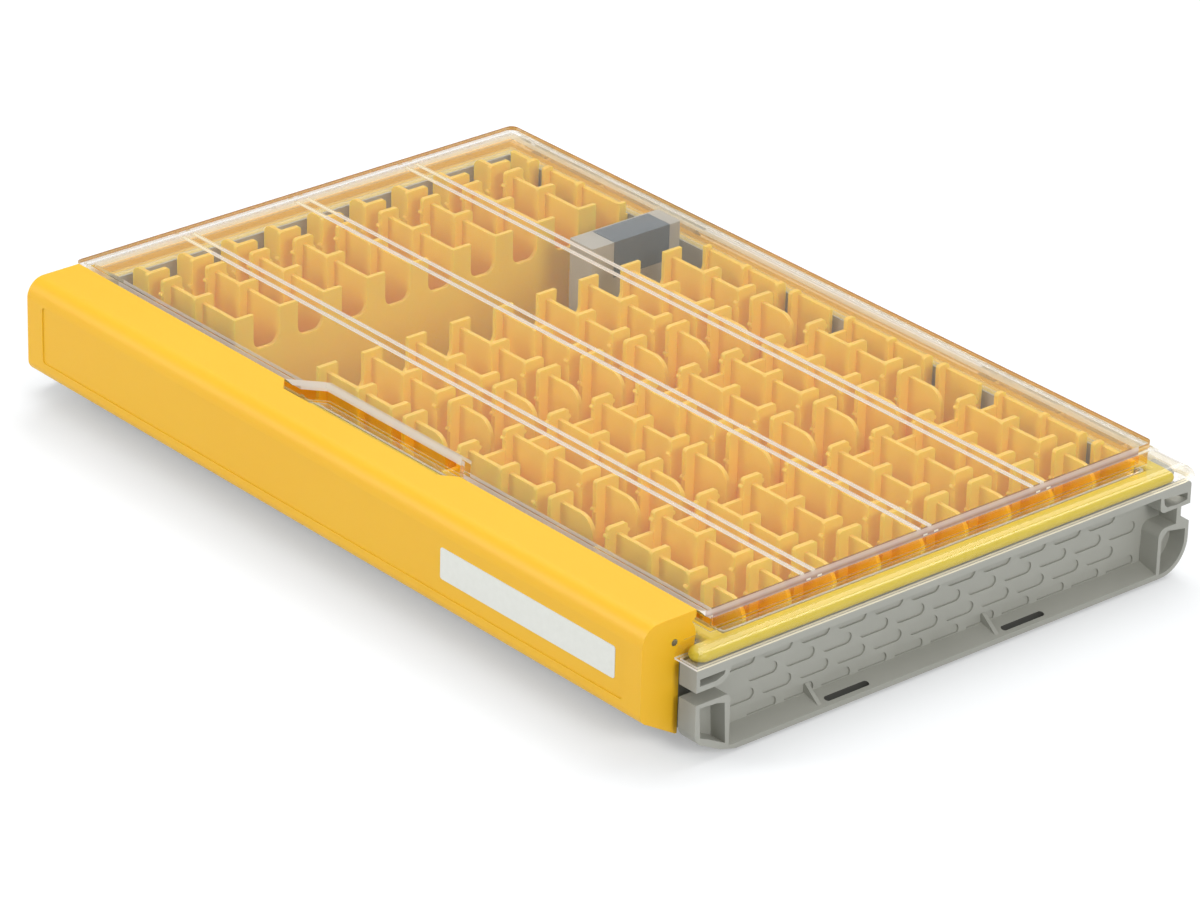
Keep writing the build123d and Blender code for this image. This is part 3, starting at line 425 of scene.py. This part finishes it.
# The far walls, left and rear, are painted with a thin amber line at the top, a painted
# reflection of the racks' amber
left_wall_x, rear_wall_y = -0.15, 0.1
far = lid_clear.math(
    "MAXIMUM",
    lid_clear.math("LESS_THAN", along, left_wall_x),
    lid_clear.math("GREATER_THAN", across, rear_wall_y),
)
far_band = lid_clear.ramp(
    level, (*seam_and_foot, (0.73, share(0.4)), (0.86, share(0.9))), "CONSTANT"
)
far_colour = lid_clear.ramp(
    level,
    (
        (0.0, rgb(252, 242, 214)),
        (0.72, rgb(244, 243, 230)),
        (0.84, rgb(236, 230, 204)),
        (0.87, rgb(202, 144, 40)),
        (0.94, rgb(222, 184, 104)),
        (0.96, rgb(186, 130, 36)),
    ),
)

# The front wall and its window are painted silver, a painted reflection, the ribs a
# little darker.  The silver and the far walls also shine a little by themselves, a
# painted glow.
silver_sheen = lid_clear.math("GREATER_THAN", rearwards * rearwards, 0.25) * (1.0 - far)
near_side = lid_clear.blend(
    silver_sheen,
    lid_clear.blend(rib_highlights, near_colour, rgb(222, 216, 206)),
    rgb(246, 242, 240),
)
far_glow = 0.16
glow = lid_clear.blend(
    silver_sheen, lid_clear.blend(far * far_glow, black, far_colour), rgb(104, 101, 99)
)
# The painted light itself: a pale shader that the bands, ribs and rear edge mix in
painted_light = lid_clear.node(
    "ShaderNodeBsdfPrincipled",
    {},
    {
        "Base Color": lid_clear.blend(far, near_side, far_colour),
        "Roughness": 0.25,
        "Emission Color": glow,
        "Emission Strength": 1.0,
    },
)

# The painted bands of light are full on walls that face the front or the right end,
# and a third as strong on those that face the rear or the left end
catch = 0.66 + (endwards - rearwards) * 0.34
bands = lid_clear.blend(far, near_band, far_band) * upright * catch
# A thin painted line of light along the rear edge, over the hinge
hinge_y, hinge_half_width = 0.1165, 0.004
hinge_edge = lid_clear.near(across, hinge_y, hinge_half_width)
rib_share, hinge_share = 0.78, 0.18
# The clear plastic with the painted light mixed in
moulded = lid_clear.mix_shaders(
    bands + rib_highlights * rib_share + hinge_edge * hinge_share,
    Wire(lid_clear, lid_clear.shader.outputs[0]),
    painted_light,
)

# Light that falls through the lid on its way to the racks isn't bent
see_through = lid_clear.node("ShaderNodeBsdfTransparent", {}, {"Color": rgb(255, 254, 252)})
lid_surface = lid_clear.mix_shaders(
    lid_clear.ray("Shadow") + lid_clear.ray("Diffuse"), moulded, see_through
)
lid_clear.plug(lid_clear.output.inputs["Surface"], lid_surface)
paint(lid_clear, "lid_shell")


# The seal is a round-edged ring of soft yellow rubber pressed into the space
# under the lid's ledge, with a rounded stub forward in each front corner.
seal_rubber = Finish("seal_rubber")
powder = seal_rubber.noise(scale=300, detail=3.0)
seal_rubber.feed(
    Base_Color=seal_rubber.blend(powder, rgb(211, 188, 40), rgb(219, 197, 56)),
    Roughness=0.3 + powder * 0.15,
)
paint(seal_rubber, "lid_seal")


# The latch bar is a yellow channel as long as the tub, moulded with a fine matte
# grain, with a shallow sunken panel along its face and a cap at each end.  The
# light that it throws on the sheet is paler than the bar itself.
latch_plastic = Finish(
    "latch_plastic",
    Subsurface_Weight=0.12,
    Subsurface_Scale=0.002,
    Subsurface_Radius=(1.0, 0.5, 0.1),
)
latch_grain = latch_plastic.noise(scale=2200, detail=2.0)
latch_cloud = latch_plastic.noise(scale=14, detail=2.0)
yellow = latch_plastic.blend(latch_cloud, rgb(247, 187, 24), rgb(249, 194, 36))
latch_plastic.feed(
    Base_Color=latch_plastic.blend(latch_plastic.ray("Diffuse"), yellow, rgb(222, 208, 184)),
    Roughness=0.4 + latch_grain * 0.18,
    Normal=latch_plastic.bump(latch_grain, strength=0.2, distance=0.0001),
)
paint(latch_plastic, "latch_bar")
soften("latch_bar", width=0.0003)


# The pins are plain turned steel: two short ones carry the latch bar, and a long
# one at each side of the rear edge carries the lid.
pin_steel = Finish("pin_steel", Metallic=1.0)
turning = pin_steel.noise(scale=1800, detail=1.0)
pin_steel.feed(
    Base_Color=pin_steel.blend(turning, rgb(142, 143, 140), rgb(176, 177, 174)),
    Roughness=0.3 + turning * 0.15,
)
paint(pin_steel, "hinge_pin_left", "hinge_pin_right", "latch_pin_left", "latch_pin_right")


# The bar's label is a plain white vinyl strip with rounded corners, left blank.
label_vinyl = Finish("label_vinyl")
fibre = label_vinyl.noise(scale=500, detail=3.0)
label_vinyl.feed(
    Base_Color=label_vinyl.blend(fibre, rgb(231, 232, 224), rgb(240, 241, 234)),
    Roughness=0.38 + fibre * 0.1,
)
paint(label_vinyl, "latch_label")
